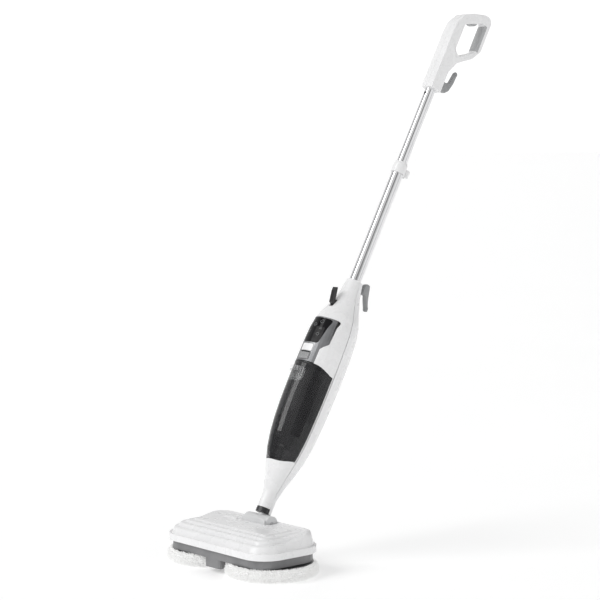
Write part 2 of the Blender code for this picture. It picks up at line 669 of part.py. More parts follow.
def build_lower_hook(pole):
    arm = [(0.0268, 0.5020, 0.002), (0.0268, 0.5250, 0.003), (0.0330, 0.5290, 0.003),
           (0.0405, 0.5285, 0.003), (0.0430, 0.5220, 0.002), (0.0500, 0.4990, 0.003),
           (0.0600, 0.4790, 0.003), (0.0545, 0.4760, 0.003), (0.0430, 0.4930, 0.003),
           (0.0350, 0.5080, 0.003), (0.0310, 0.5030, 0.002)]
    hook_part("lower_cord_hook", LOWER_HOOK_PIVOT, arm, 0.0150, "light_grey", pole)


# ---------------------------------------------------------------- tank

FLAP_PIVOT = (0.0, -0.0590, 0.2745)


def build_tank(pole):
    tank = add_part("tank_shell", half_solid_mesh(0.105, 0.325, 0.0, 0.0036), "smoked", pole)
    boolean(tank, add_cutter("tank_edge", prism_mesh(tank_outline(0.0004), -0.09, 0.0), pole),
            "INTERSECT")
    boolean(tank, add_cutter("tank_core", tank_core_mesh(TANK_WALL, 0.0036 + TANK_WALL), pole))
    boolean(tank, add_cutter("filler_hole", cylinder_mesh(0.0080, -0.010, 0.010, 20), pole,
                             (0, -0.0545, 0.2900), (math.pi / 2, 0, 0)))
    boolean(tank, add_cutter("valve_hole", cylinder_mesh(0.0063, 0.10, 0.118, 20), pole,
                             (0, -0.016, 0)))
    turned_part("tank_valve", [(0, 0.1197), (0.0086, 0.1197), (0.0086, 0.1166), (0.0060, 0.1166),
                               (0.0060, 0.1128), (0.0020, 0.1128), (0.0020, 0.1150), (0, 0.1150)],
                "black", pole, (0, -0.016, 0), steps=20)
    tube_part("pickup_tube", [Vector((0.004 + 0.010 * u, -0.016 - 0.012 * u, 0.1205 + 0.150 * u))
                              for u in (0, 0.15, 0.4, 0.7, 1.0)], 0.0024, "rubber", pole)

    rings = [[p + Vector((0, -0.0021, 0)) - Vector(FLAP_PIVOT) for p in body_ring(z, 58, 122, 12)]
             for z in heights(0.268, 0.312, 0.011)]
    flap = add_part("filler_flap", loft_mesh(rings, closed=False), "clear_grey", pole, FLAP_PIVOT)
    solidify(flap, 0.0018)
    boolean(flap, add_cutter("flap_outline", prism_mesh(rect_outline(0.0195, 0.2745, 0.3060, 0.009, 4),
                                                        -0.09, -0.03), pole), "INTERSECT")
    lip = [(0.0190 * math.cos(math.radians(a)), -0.0555 - 0.0115 * math.sin(math.radians(a)))
           for a in range(0, 181, 15)]
    boolean(flap, add_cutter("flap_lip", prism_mesh(lip, 0.2930, 0.2955, "XY"), pole), "UNION")


# ---------------------------------------------------------------- pole

def build_pole(pole):
    turned_part("lower_tube", ring_profile(LOWER_TUBE_R - TUBE_WALL, LOWER_TUBE_R, LOWER_TUBE_BOTTOM,
                                           LOWER_TUBE_TOP), "chrome", pole)
    upper = turned_part("upper_tube", ring_profile(UPPER_TUBE_R - TUBE_WALL, UPPER_TUBE_R,
                                                   UPPER_TUBE_BOTTOM, UPPER_TUBE_TOP), "chrome", pole)
    boolean(upper, add_cutter("snap_hole", cylinder_mesh(0.0033, 0.0, 0.02, 16), pole, (0, 0, 0.954),
                              (math.pi / 2, 0, 0)))
    turned_part("snap_button", [(0, 0.0125), (0.0018, 0.0124), (0.0030, 0.0112), (0.0030, 0.0070),
                                (0, 0.0070)], "black", pole, (0, 0, 0.954), (math.pi / 2, 0, 0),
                steps=16)
    collar = turned_part("pole_collar", [(0.0125, 0.7935), (0.0146, 0.7880), (0.0152, 0.7700),
                                         (0.0148, 0.7680), (0.0128, 0.7680), (0.0128, 0.7864),
                                         (0.0113, 0.7864), (0.0113, 0.7935)], "white", pole)
    clip_y = 0.0208
    outer = [(0.0078 * math.sin(math.radians(a)), clip_y - 0.0078 * math.cos(math.radians(a)))
             for a in range(-145, 146, 29)]
    inner = [(0.0048 * math.sin(math.radians(a)), clip_y - 0.0048 * math.cos(math.radians(a)))
             for a in range(145, -146, -29)]
    clip = add_cutter("cord_clip", prism_mesh(outer + inner, 0.7690, 0.7850, "XY"), pole)
    boolean(collar, clip, "UNION")


# ---------------------------------------------------------------- handle

def shifted_outline(points, inward):
    """A closed anticlockwise outline moved inward along its normals."""
    moved = []
    for k, point in enumerate(points):
        along = Vector(points[(k + 1) % len(points)]) - Vector(points[k - 1])
        along.normalize()
        moved.append((point[0] - along.y * inward, point[1] + along.x * inward))
    return moved


def handle_outline(inset):
    """Side view of the handle, (Y, height): spine, rear grip, top bar."""
    corners = [(-0.0143, HANDLE_BOTTOM, 0), (0.0152, HANDLE_BOTTOM, 0), (0.0152, 1.0170, 0.030),
               (0.0300, 1.0470, 0.012), (0.0700, 1.0800, 0.012), (0.0850, 1.1060, 0.012),
               (0.0850, 1.1870, 0.014), (0.0581, 1.1802, 0.030), (0.0247, 1.1642, 0.030),
               (0.0030, 1.1490, 0.020), (-0.0120, 1.1220, 0.030), (-0.0143, 1.0950, 0.030)]
    return shifted_outline(rounded_outline(corners, 4), inset)


def opening_outline(grow):
    """The hand opening, grown outward for the cavity cutter."""
    corners = [(0.0105, 1.0690, 0.0060), (0.0280, 1.0610, 0.0100), (0.0690, 1.0945, 0.0100),
               (0.0686, 1.1650, 0.0050), (0.0105, 1.1310, 0.0080)]
    return shifted_outline(rounded_outline(corners, 3), -grow)


def handle_half_width(y):
    """The spine is 31 mm wide and the rear grip 18 mm; the bars between blend smoothly."""
    u = min(max((y - 0.012) / 0.055, 0.0), 1.0)
    return 1.0 - 0.40 * (3 * u**2 - 2 * u**3)


def handle_solid(name, inset, round_width, pole):
    """The whole loop as a solid with rounded edges, tapered in width toward the rear grip."""
    half = 0.0155 - inset
    obj = add_cutter(name, prism_mesh(handle_outline(inset), -half, half, "YZ"), pole)
    hand = add_cutter(name + "_opening", prism_mesh(opening_outline(inset), -0.03, 0.03, "YZ"), pole)
    boolean(obj, hand)
    bevel(obj, round_width, segments=2, angle=60)
    bpy.context.view_layer.update()
    graph = bpy.context.evaluated_depsgraph_get()
    mesh = bpy.data.meshes.new_from_object(obj.evaluated_get(graph))
    for vert in mesh.vertices:
        vert.co.x *= handle_half_width(vert.co.y)
    obj.modifiers.clear()
    obj.data = mesh
    bpy.data.objects.remove(hand, do_unlink=True)
    return mesh


def build_handle(pole):
    outer = handle_solid("handle_form", 0.0, 0.0055, pole)
    handle_solid("handle_cavity", HANDLE_WALL, 0.0034, pole)
    cavity = bpy.data.objects["handle_cavity"]
    form = bpy.data.objects["handle_form"]
    bore = add_cutter("handle_bore", cylinder_mesh(0.0113, 0.95, 0.9875, 32), pole)
    slot = add_cutter("trigger_slot", trigger_mesh(0.0004, (0, 0, 0)), pole)
    pocket = add_cutter("insert_pocket", prism_mesh(insert_outline(0.0), -0.0063, 0.0063, "YZ"), pole)
    hook_hole = add_cutter("upper_hook_hole", cylinder_mesh(0.0033, -0.02, 0.01, 16), pole,
                           UPPER_HOOK_PIVOT, (-math.pi / 2, 0, 0))
    screws = ((0.0, 1.030), (0.0, 1.120))
    for side, sign in (("left", -1), ("right", 1)):
        half = add_part("handle_" + side, outer.copy(), "white", pole)
        keep = add_cutter(side + "_half", box_mesh((0.06, 0.30, 0.40),
                                                   (sign * (0.03 + GAP / 2), 0.03, 1.08)), pole)
        boolean(half, keep, "INTERSECT")
        for cutter in (cavity, bore, slot, pocket, hook_hole):
            boolean(half, cutter)
        if side == "left":
            for k, (y, z) in enumerate(screws):
                boolean(half, add_cutter(f"handle_screw_hole_{k + 1}",
                                         cylinder_mesh(0.0033, -0.02, -0.005, 16), pole, (0, y, z),
                                         (0, math.pi / 2, 0)))
                screw_part(f"handle_screw_{k + 1}", pole, (-0.0152, y, z), (0, -math.pi / 2, 0),
                           length=0.009)
    bpy.data.objects.remove(form, do_unlink=True)
    add_part("grip_insert", prism_mesh(insert_outline(GAP), -0.0060, 0.0060, "YZ"), "grip_grey", pole)
    pivot = (0.0, TRIGGER_Y, TRIGGER_Z)
    add_part("steam_trigger", trigger_mesh(0.0, pivot), "light_grey", pole, pivot)
    arm = [(0.0160, 0.9770, 0.003), (0.0160, 0.9980, 0.002), (0.0330, 1.0000, 0.003),
           (0.0400, 1.0060, 0.004), (0.0440, 1.0300, 0.0020), (0.0520, 1.0330, 0.0020),
           (0.0505, 1.0080, 0.003), (0.0450, 0.9880, 0.005), (0.0360, 0.9780, 0.004)]
    hook_part("upper_cord_hook", UPPER_HOOK_PIVOT, arm, 0.0130, "light_grey", pole)


TRIGGER_Y = 0.0400
TRIGGER_Z = 1.1483
BAR_SLOPE = math.atan2(0.0340, 0.0581)


def trigger_mesh(grow, pivot):
    """A half-moon key under the top bar; its flat top reaches up into the bar."""
    half, drop, rise = 0.0115 + grow, 0.0050 + grow, 0.0042 + grow
    shape = [(half * math.cos(math.radians(a)), -drop * math.sin(math.radians(a)))
             for a in range(0, 181, 20)]
    shape += [(-half, rise), (half, rise)]
    c, s = math.cos(BAR_SLOPE), math.sin(BAR_SLOPE)
    outline = [(TRIGGER_Y + y * c - z * s - pivot[1], TRIGGER_Z + y * s + z * c - pivot[2])
               for y, z in shape]
    return prism_mesh(outline, -0.0050 - grow, 0.0050 + grow, "YZ")


def insert_outline(inset):
    """Soft insert on the hand side of the rear grip."""
    return rounded_outline([(0.0665 + inset, 1.1020 + inset, 0), (0.0740 - inset, 1.1020 + inset, 0),
                            (0.0740 - inset, 1.1560 - inset, 0), (0.0665 + inset, 1.1560 - inset, 0)])


def main():
    clear_scene()
    head = make_empty("head_frame", (0, HEAD_Y, 0))
    pole = make_empty("pole_frame", (0, POLE_Y, POLE_Z), (-math.radians(LEAN_DEG), 0, 0), head)
    build_head(head)
    build_joint(pole)
    build_body(pole)
    build_tank(pole)
    build_pole(pole)
    build_handle(pole)


main()
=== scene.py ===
"""Looks of the upright steam mop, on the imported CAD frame."""
import json
import math
import random

import bmesh
import bpy
from mathutils import Euler, Matrix, Vector, noise


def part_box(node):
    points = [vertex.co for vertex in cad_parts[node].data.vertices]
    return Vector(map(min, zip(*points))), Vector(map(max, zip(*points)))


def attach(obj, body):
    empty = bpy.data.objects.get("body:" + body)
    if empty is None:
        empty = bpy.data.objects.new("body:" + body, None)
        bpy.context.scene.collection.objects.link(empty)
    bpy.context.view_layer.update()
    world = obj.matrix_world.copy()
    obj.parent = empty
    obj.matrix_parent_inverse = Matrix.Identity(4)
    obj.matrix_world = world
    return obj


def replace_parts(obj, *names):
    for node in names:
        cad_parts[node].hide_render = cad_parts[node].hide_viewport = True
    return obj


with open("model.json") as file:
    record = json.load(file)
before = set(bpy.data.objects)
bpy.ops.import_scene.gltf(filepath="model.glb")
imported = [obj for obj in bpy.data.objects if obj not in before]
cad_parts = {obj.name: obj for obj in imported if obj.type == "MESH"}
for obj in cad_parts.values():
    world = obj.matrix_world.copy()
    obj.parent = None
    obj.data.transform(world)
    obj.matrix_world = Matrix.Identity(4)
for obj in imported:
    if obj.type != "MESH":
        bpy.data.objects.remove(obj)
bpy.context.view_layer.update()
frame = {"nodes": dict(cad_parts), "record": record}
NODES = frame["nodes"]

# ---------------------------------------------------------------- places, from the CAD frame
head_low, head_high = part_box("head_cover")
HEAD_Y = (head_low[1] + head_high[1]) / 2
HEAD_HALF_X = (head_high[0] - head_low[0]) / 2
HEAD_HALF_Y = (head_high[1] - head_low[1]) / 2
LEAN = math.radians(28.8)
POLE_FOOT = Vector((0, HEAD_Y + 0.0514, 0.0917))
POLE = Matrix.Translation(POLE_FOOT) @ Euler((-LEAN, 0, 0)).to_matrix().to_4x4()

# The body's section up the pole axis: height, half width, front depth, rear depth
STATIONS = [
    (0.0185, 0.0155, 0.0165, 0.0160), (0.048, 0.0160, 0.0170, 0.0165),
    (0.075, 0.0230, 0.0240, 0.0250), (0.100, 0.0305, 0.0320, 0.0330),
    (0.125, 0.0372, 0.0405, 0.0395), (0.150, 0.0425, 0.0475, 0.0440),
    (0.190, 0.0465, 0.0530, 0.0475), (0.235, 0.0488, 0.0556, 0.0500),
    (0.290, 0.0497, 0.0558, 0.0516), (0.345, 0.0495, 0.0544, 0.0520),
    (0.385, 0.0482, 0.0535, 0.0502), (0.419, 0.0448, 0.0500, 0.0462),
    (0.449, 0.0345, 0.0365, 0.0380), (0.472, 0.0252, 0.0260, 0.0288),
    (0.499, 0.0192, 0.0197, 0.0218), (0.520, 0.0168, 0.0175, 0.0175),
]


def station(height):
    """Half width, front and rear depth of the body at a height, smoothly through the stations."""
    rows = STATIONS
    height = min(max(height, rows[0][0]), rows[-1][0])
    i = max(k for k in range(len(rows) - 1) if rows[k][0] <= height)
    low, high = rows[i], rows[i + 1]
    before = rows[i - 1] if i > 0 else low
    after = rows[i + 2] if i + 2 < len(rows) else high
    span = high[0] - low[0]
    u = (height - low[0]) / span
    out = []
    for k in (1, 2, 3):
        m0 = (high[k] - before[k]) / max(high[0] - before[0], 1e-6) * span
        m1 = (after[k] - low[k]) / max(after[0] - low[0], 1e-6) * span
        out.append((2 * u**3 - 3 * u**2 + 1) * low[k] + (u**3 - 2 * u**2 + u) * m0
                   + (-2 * u**3 + 3 * u**2) * high[k] + (u**3 - u**2) * m1)
    return out


def front_depth(x, height):
    """How far the body's front stands from the pole axis at a sideways place and height."""
    half, front, rear = station(height)
    return front * math.sqrt(max(0.0, 1 - (x / half) ** 2))


# ---------------------------------------------------------------- materials

def new_material(name):
    material = bpy.data.materials.new(name)
    material.use_nodes = True
    tree = material.node_tree
    return material, tree, tree.nodes["Principled BSDF"]


def add_noise(tree, scale, detail=3.0):
    """Noise in object space."""
    coords = tree.nodes.new("ShaderNodeTexCoord")
    texture = tree.nodes.new("ShaderNodeTexNoise")
    texture.inputs["Scale"].default_value = scale
    texture.inputs["Detail"].default_value = detail
    tree.links.new(coords.outputs["Object"], texture.inputs["Vector"])
    return texture


def add_ramp(tree, source, low, high, start=0.3, end=0.7):
    ramp = tree.nodes.new("ShaderNodeValToRGB")
    ramp.color_ramp.elements[0].position = start
    ramp.color_ramp.elements[0].color = (*low, 1)
    ramp.color_ramp.elements[1].position = end
    ramp.color_ramp.elements[1].color = (*high, 1)
    tree.links.new(source, ramp.inputs["Fac"])
    return ramp


def add_bump(tree, shader, height, strength, depth):
    """Fine relief from a height output."""
    bump = tree.nodes.new("ShaderNodeBump")
    bump.inputs["Strength"].default_value = strength
    bump.inputs["Distance"].default_value = depth
    tree.links.new(height, bump.inputs["Height"])
    tree.links.new(bump.outputs["Normal"], shader.inputs["Normal"])


GRAIN_DEPTH = 0.0004


def finish(name, dark, light, rough, bump_scale=900.0, bump=0.05, tone_scale=30.0, metallic=0.0,
           coat=0.0, cells=False, **extra):
    """A moulded, coated or metal finish: tone, roughness and fine relief from procedural textures."""
    material, tree, shader = new_material(name)
    tone = add_noise(tree, tone_scale)
    colors = add_ramp(tree, tone.outputs["Fac"], dark, light)
    tree.links.new(colors.outputs["Color"], shader.inputs["Base Color"])
    wear = add_noise(tree, tone_scale * 3.1, 5.0)
    rough_map = tree.nodes.new("ShaderNodeMapRange")
    spans = {"From Min": 0.3, "From Max": 0.7, "To Min": rough[0], "To Max": rough[1]}
    for key, value in spans.items():
        rough_map.inputs[key].default_value = value
    tree.links.new(wear.outputs["Fac"], rough_map.inputs["Value"])
    tree.links.new(rough_map.outputs["Result"], shader.inputs["Roughness"])
    shader.inputs["Metallic"].default_value = metallic
    shader.inputs["Coat Weight"].default_value = coat
    for key, value in extra.items():
        shader.inputs[key.replace("_", " ")].default_value = value
    if not bump:
        return material
    if cells:
        coords = tree.nodes.new("ShaderNodeTexCoord")
        relief = tree.nodes.new("ShaderNodeTexVoronoi")
        relief.inputs["Scale"].default_value = bump_scale
        tree.links.new(coords.outputs["Object"], relief.inputs["Vector"])
        height = relief.outputs["Distance"]
    else:
        height = add_noise(tree, bump_scale, 2.0).outputs["Fac"]
    add_bump(tree, shader, height, bump, GRAIN_DEPTH)
    return material


FINISHES = {
    "white_shell": finish("white_shell_look", (0.83, 0.83, 0.835), (0.87, 0.87, 0.875), (0.24, 0.32),
                          160, 0.008, 14.0, coat=0.15),
    "grip_soft": finish("grip_soft_look", (0.42, 0.425, 0.43), (0.48, 0.485, 0.49), (0.55, 0.68), 2600,
                        0.5, cells=True),
    "pale_grey": finish("pale_grey_look", (0.66, 0.665, 0.67), (0.72, 0.725, 0.73), (0.34, 0.46), 2200,
                        0.12),
    "hook_grey": finish("hook_grey_look", (0.26, 0.265, 0.27), (0.32, 0.325, 0.33), (0.36, 0.48), 2200,
                        0.15),
    "light_grey": finish("light_grey_look", (0.46, 0.465, 0.47), (0.53, 0.535, 0.54), (0.34, 0.46), 2200,
                         0.12),
    "mid_grey": finish("mid_grey_look", (0.205, 0.205, 0.21), (0.245, 0.245, 0.25), (0.38, 0.50), 2200,
                       0.25),
    "black_plastic": finish("black_plastic_look", (0.012, 0.012, 0.013), (0.022, 0.022, 0.024),
                            (0.24, 0.36), 1800, 0.12),
    "black_glass": finish("black_glass_look", (0.004, 0.004, 0.005), (0.009, 0.009, 0.010),
                          (0.05, 0.10), 60, 0.0, Specular_IOR_Level=0.12),
    "silver_trim": finish("silver_trim_look", (0.19, 0.193, 0.20), (0.25, 0.253, 0.26), (0.30, 0.40), 3000,
                          0.10, metallic=0.6),
    "chrome_tube": finish("chrome_tube_look", (0.72, 0.72, 0.73), (0.80, 0.80, 0.81), (0.05, 0.11), 90,
                          0.01, 14.0, metallic=1.0),
    "steel": finish("steel_look", (0.45, 0.45, 0.46), (0.62, 0.62, 0.63), (0.25, 0.42), 1500, 0.2,
                    metallic=1.0),
    "boiler_alloy": finish("boiler_alloy_look", (0.50, 0.50, 0.51), (0.60, 0.60, 0.61), (0.40, 0.55),
                           900, 0.4, metallic=1.0),
    "smoked_clear": finish("smoked_clear_look", (0.020, 0.020, 0.022), (0.030, 0.030, 0.032),
                           (0.03, 0.08), 60, 0.0, Alpha=0.66),
    "clear_grey": finish("clear_grey_look", (0.30, 0.305, 0.31), (0.38, 0.385, 0.39), (0.04, 0.10), 60, 0.0,
                         Alpha=0.22),
    "board_green": finish("board_green_look", (0.02, 0.15, 0.06), (0.03, 0.22, 0.09), (0.4, 0.5), 300,
                          0.3),
    "black_rubber": finish("black_rubber_look", (0.02, 0.02, 0.02), (0.035, 0.035, 0.035), (0.6, 0.75),
                           2000, 0.3),
}


def pile_material():
    """White microfibre with uneven clumps, a soft sheen and a faint painted glow."""
    material, tree, shader = new_material("microfibre_look")
    clumps = add_noise(tree, 160.0, 4.0)
    colors = add_ramp(tree, clumps.outputs["Fac"], (0.86, 0.86, 0.855), (0.97, 0.97, 0.965), 0.25, 0.6)
    tree.links.new(colors.outputs["Color"], shader.inputs["Base Color"])
    # The emission is painted light: a faint glow that makes the pads brighter, though they are no lamp.
    surface = {"Roughness": 0.9, "Sheen Weight": 0.5, "Sheen Roughness": 0.5,
               "Emission Color": (1, 1, 1, 1), "Emission Strength": 0.09}
    for key, value in surface.items():
        shader.inputs[key].default_value = value
    fibres = add_noise(tree, 1400.0, 2.0)
    add_bump(tree, shader, fibres.outputs["Fac"], 0.6, 0.0006)
    return material


FINISHES["microfibre"] = pile_material()

SLOT_OF = {row["node"]: row["material_slot"] for row in frame["record"]["subparts"]}
for node_name, node in NODES.items():
    look = FINISHES[SLOT_OF[node_name]]
    node.data.materials.clear()
    node.data.materials.append(look)


# ---------------------------------------------------------------- making pieces

def add_piece(name, mesh, body, slot, look=None):
    obj = bpy.data.objects.new(name, mesh)
    bpy.context.scene.collection.objects.link(obj)
    mesh.materials.clear()
    mesh.materials.append(look or FINISHES[slot])
    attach(obj, body)
    return obj


def mesh_of(bm, name, smooth=35.0):
    mesh = bpy.data.meshes.new(name)
    bm.to_mesh(mesh)
    bm.free()
    mesh.shade_smooth()
    mesh.set_sharp_from_angle(angle=math.radians(smooth))
    return mesh


def add_grid(bm, rows, closed=False):
    """Quads between neighbouring rows of vertices; each row is open or runs round to its start."""
    for low, high in zip(rows, rows[1:]):
        for i in range(len(low) if closed else len(low) - 1):
            j = (i + 1) % len(low)
            bm.faces.new((low[i], low[j], high[j], high[i]))


def skin(rings, caps=False):
    """A tube of quads through closed rings of equal length."""
    bm = bmesh.new()
    rows = [[bm.verts.new(p) for p in ring] for ring in rings]
    add_grid(bm, rows, closed=True)
    if caps:
        bm.faces.new(list(reversed(rows[0])))
        bm.faces.new(rows[-1])
    return bm


def smooth_step(u):
    u = min(max(u, 0.0), 1.0)
    return u * u * (3 - 2 * u)


# ---------------------------------------------------------------- microfibre pads

EDGE_FROM, LUMP_DEPTH = 0.070, 0.0011
CORE_LOW, STRAND_LOW = 0.0004, 0.0002


def pad_mesh(name, seed, centre, radius, thick):
    """A pad with a thick soft edge: a turned cushion form covered with loose bent strands."""
    rng = random.Random(seed)
    bm = bmesh.new()
    profile = [(0.0, 0.0006), (0.030, 0.0006), (0.060, 0.0007), (radius - 0.016, 0.0008),
               (radius - 0.0095, 0.0022), (radius - 0.0050, 0.0055), (radius - 0.0030, 0.0100),
               (radius - 0.0034, 0.0150), (radius - 0.0050, thick - 0.0060),
               (radius - 0.0072, thick - 0.0026), (radius - 0.0096, thick - 0.0016),
               (radius - 0.0108, thick - 0.0030), (radius - 0.0111, 0.0180), (0.0, 0.0178)]
    steps = 144
    rows = []
    for r, z in profile:
        if r == 0.0:
            rows.append([bm.verts.new((centre[0], centre[1], z))])
            continue
        row = []
        for k in range(steps):
            angle = math.tau * k / steps
            lump = noise.noise(Vector((math.cos(angle) * 9 + seed, math.sin(angle) * 9, z * 150)))
            reach = r + (lump * LUMP_DEPTH if r > EDGE_FROM else 0.0)
            row.append(bm.verts.new((centre[0] + reach * math.cos(angle),
                                     centre[1] + reach * math.sin(angle), z)))
        rows.append(row)
    for low, high in zip(rows, rows[1:]):
        for k in range(steps):
            j = (k + 1) % steps
            if len(low) == 1:
                bm.faces.new((low[0], high[j], high[k]))
            elif len(high) == 1:
                bm.faces.new((low[k], low[j], high[0]))
            else:
                bm.faces.new((low[k], low[j], high[j], high[k]))

    def strand(root, direction, length, width, droop):
        """One bent three-sided strand that tapers to its tip."""
        side = direction.cross(Vector((0, 0, 1)))
        side = side.normalized() if side.length > 1e-6 else Vector((1, 0, 0))
        up = side.cross(direction).normalized()
        twist = rng.uniform(-1, 1)
        previous = None
        for step in range(4):
            u = step / 3
            centre_line = root + direction * length * u + side * twist * 0.0012 * u * u
            centre_line.z -= droop * u * u
            centre_line.z = max(centre_line.z, CORE_LOW)
            size = width * (1.0, 1.05, 0.8, 0.12)[step]
            ring = [bm.verts.new(centre_line + (side * math.cos(a) + up * math.sin(a)) * size)
                    for a in (0.5, 2.6, 4.7)]
            for v in ring:
                v.co.z = max(v.co.z, STRAND_LOW)
            if previous:
                for k in range(3):
                    bm.faces.new((previous[k], previous[(k + 1) % 3], ring[(k + 1) % 3], ring[k]))
            previous = ring
        bm.faces.new(previous)

    # Height, radius, upward slope and number of strands in each round
    layers = ((0.0030, radius - 0.0085, 0.35, 520), (0.0062, radius - 0.0052, 0.10, 640),
              (0.0095, radius - 0.0040, 0.05, 680), (0.0130, radius - 0.0040, 0.15, 680),
              (0.0165, radius - 0.0048, 0.40, 660), (thick - 0.0062, radius - 0.0056, 0.70, 620),
              (thick - 0.0036, radius - 0.0074, 1.10, 600), (thick - 0.0024, radius - 0.0092, 2.20, 620))
    for z, r, rise, count in layers:
        for k in range(count):
            angle = math.tau * (k + rng.uniform(-0.6, 0.6)) / count
            lean = rng.uniform(-0.45, 0.45)
            out = Vector((math.cos(angle + lean * 0.6), math.sin(angle + lean * 0.6),
                          math.tan(rise * rng.uniform(0.5, 1.1)) if rise < 1.0 else rise))
            root = Vector((centre[0] + r * math.cos(angle), centre[1] + r * math.sin(angle),
                           z + rng.uniform(-0.0014, 0.0014)))
            length = rng.uniform(0.0044, 0.0072) if rise < 1.0 else rng.uniform(0.0030, 0.0056)
            strand(root, out.normalized(), length, rng.uniform(0.00060, 0.00095),
                   rng.uniform(0.0002, 0.0026) if rise < 1.0 else 0.0006)
    return mesh_of(bm, name, 70.0)


for side, seed in (("left", 3), ("right", 11)):
    low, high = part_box(side + "_pad")
    centre = ((low[0] + high[0]) / 2, (low[1] + high[1]) / 2)
    pad = add_piece(side + "_pad_cloth",
                    pad_mesh(side + "_pad_cloth", seed, centre, (high[0] - low[0]) / 2, high[2]),
                    side + "_pad_drive", "microfibre")
    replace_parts(pad, side + "_pad")


# ---------------------------------------------------------------- head cover

RIM_BOTTOM, RIM_TOP = 0.0445, 0.0585
COVER_CORNER, LEAST_CORNER = 0.050, 0.006
CLIMB_START, CLIMB_LENGTH = -0.020, 0.080
# Inset, height at the front and height at the rear: terraces in front, a steep wall behind
COVER_ROWS = [
    (0.0, RIM_BOTTOM, RIM_BOTTOM), (0.0, RIM_TOP - 0.0008, RIM_TOP - 0.0008),
    (0.0012, RIM_TOP, RIM_TOP), (0.0036, RIM_TOP - 0.0012, 0.0580), (0.0054, RIM_TOP - 0.0018, 0.0590),
    (0.0100, 0.0680, 0.0790),
    (0.0122, 0.0700, 0.0840), (0.0196, 0.0708, 0.0862), (0.0216, 0.0764, 0.0855),
    (0.0240, 0.0780, 0.0838), (0.0330, 0.0778, 0.0834), (0.0352, 0.0814, 0.0834),
    (0.0372, 0.0823, 0.0834), (0.0470, 0.0820, 0.0836), (0.0492, 0.0846, 0.0845),
    (0.0512, 0.0851, 0.0850), (0.0700, 0.0850, 0.0850),
]


def softened(rows, reach=0.38, radius=0.0014):
    """The profile with every corner turned into a small curve."""
    rows = [Vector(row) for row in rows]
    out = [rows[0]]
    for before, here, after in zip(rows, rows[1:], rows[2:]):
        back, on = before - here, after - here
        start = here + back * min(reach, radius / max(back.length, 1e-6))
        end = here + on * min(reach, radius / max(on.length, 1e-6))
        for u in (0.0, 0.33, 0.67, 1.0):
            out.append(start * (1 - u) ** 2 + here * 2 * u * (1 - u) + end * u * u)
    return out + [rows[-1]]


def cover_loop(inset, front, rear, arc=14, run=40, run_short=22):
    """A rounded rectangle whose height runs smoothly from front to rear."""
    r = max(COVER_CORNER - inset, LEAST_CORNER)
    a, b = HEAD_HALF_X - inset, HEAD_HALF_Y - inset
    points = []
    corners = ((a - r, b - r, 0.0), (-(a - r), b - r, 90.0), (-(a - r), -(b - r), 180.0),
               (a - r, -(b - r), 270.0))
    for k, (cx, cy, start) in enumerate(corners):
        for i in range(arc + 1):
            angle = math.radians(start + 90.0 * i / arc)
            points.append((cx + r * math.cos(angle), cy + r * math.sin(angle)))
        nx, ny, following = corners[(k + 1) % 4]
        angle = math.radians(following)
        end = (nx + r * math.cos(angle), ny + r * math.sin(angle))
        last = points[-1]
        count = run if k % 2 == 0 else run_short
        for i in range(1, count):
            u = i / count
            points.append((last[0] + (end[0] - last[0]) * u, last[1] + (end[1] - last[1]) * u))
    loop = []
    for x, y in points:
        climb = smooth_step((y - CLIMB_START) / CLIMB_LENGTH)
        loop.append(Vector((x, HEAD_Y + y, front + (rear - front) * climb)))
    return loop


def head_cover_mesh():
    """The white cover: a tall rim and a groove, then terraces that merge into a steep rear wall."""
    bm = skin([cover_loop(*row) for row in softened(COVER_ROWS)])
    top = [e for e in bm.edges if e.is_boundary and e.verts[0].co.z > 0.08]
    bmesh.ops.edgenet_fill(bm, edges=top)
    bmesh.ops.recalc_face_normals(bm, faces=bm.faces)
    if max(bm.faces, key=lambda f: f.calc_center_median().z).normal.z < 0:
        bmesh.ops.reverse_faces(bm, faces=bm.faces)
    return mesh_of(bm, "head_shell", 50.0)


def apply_modifiers(obj):
    graph = bpy.context.evaluated_depsgraph_get()
    mesh = bpy.data.meshes.new_from_object(obj.evaluated_get(graph))
    obj.modifiers.clear()
    obj.data = mesh


def open_window(mesh, low, high):
    """Cuts a box-shaped window through a sheet of faces."""
    bm = bmesh.new()
    bm.from_mesh(mesh)
    for axis in range(3):
        for bound in (low[axis], high[axis]):
            near = [f for f in bm.faces
                    if all(min(v.co[k] for v in f.verts) < high[k] and max(v.co[k] for v in f.verts) > low[k]
                           for k in range(3))]
            edges = {e for f in near for e in f.edges}
            verts = {v for f in near for v in f.verts}
            normal = [1.0 if k == axis else 0.0 for k in range(3)]
            bmesh.ops.bisect_plane(bm, geom=near + list(edges) + list(verts), dist=1e-7,
                                   plane_co=[bound * n for n in normal], plane_no=normal)
    inside = [f for f in bm.faces
              if all(low[k] < f.calc_center_median()[k] < high[k] for k in range(3))]
    bmesh.ops.delete(bm, geom=inside, context="FACES")
    bm.to_mesh(mesh)
    bm.free()


shell_mesh = head_cover_mesh()
bracket_low, bracket_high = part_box("hinge_bracket")
BAY_SIDE_GAP, BAY_END_GAP = 0.0018, 0.0045
open_window(shell_mesh, (bracket_low[0] - BAY_SIDE_GAP, bracket_low[1] - BAY_END_GAP, 0.05),
            (bracket_high[0] + BAY_SIDE_GAP, bracket_high[1] + BAY_END_GAP, 0.12))
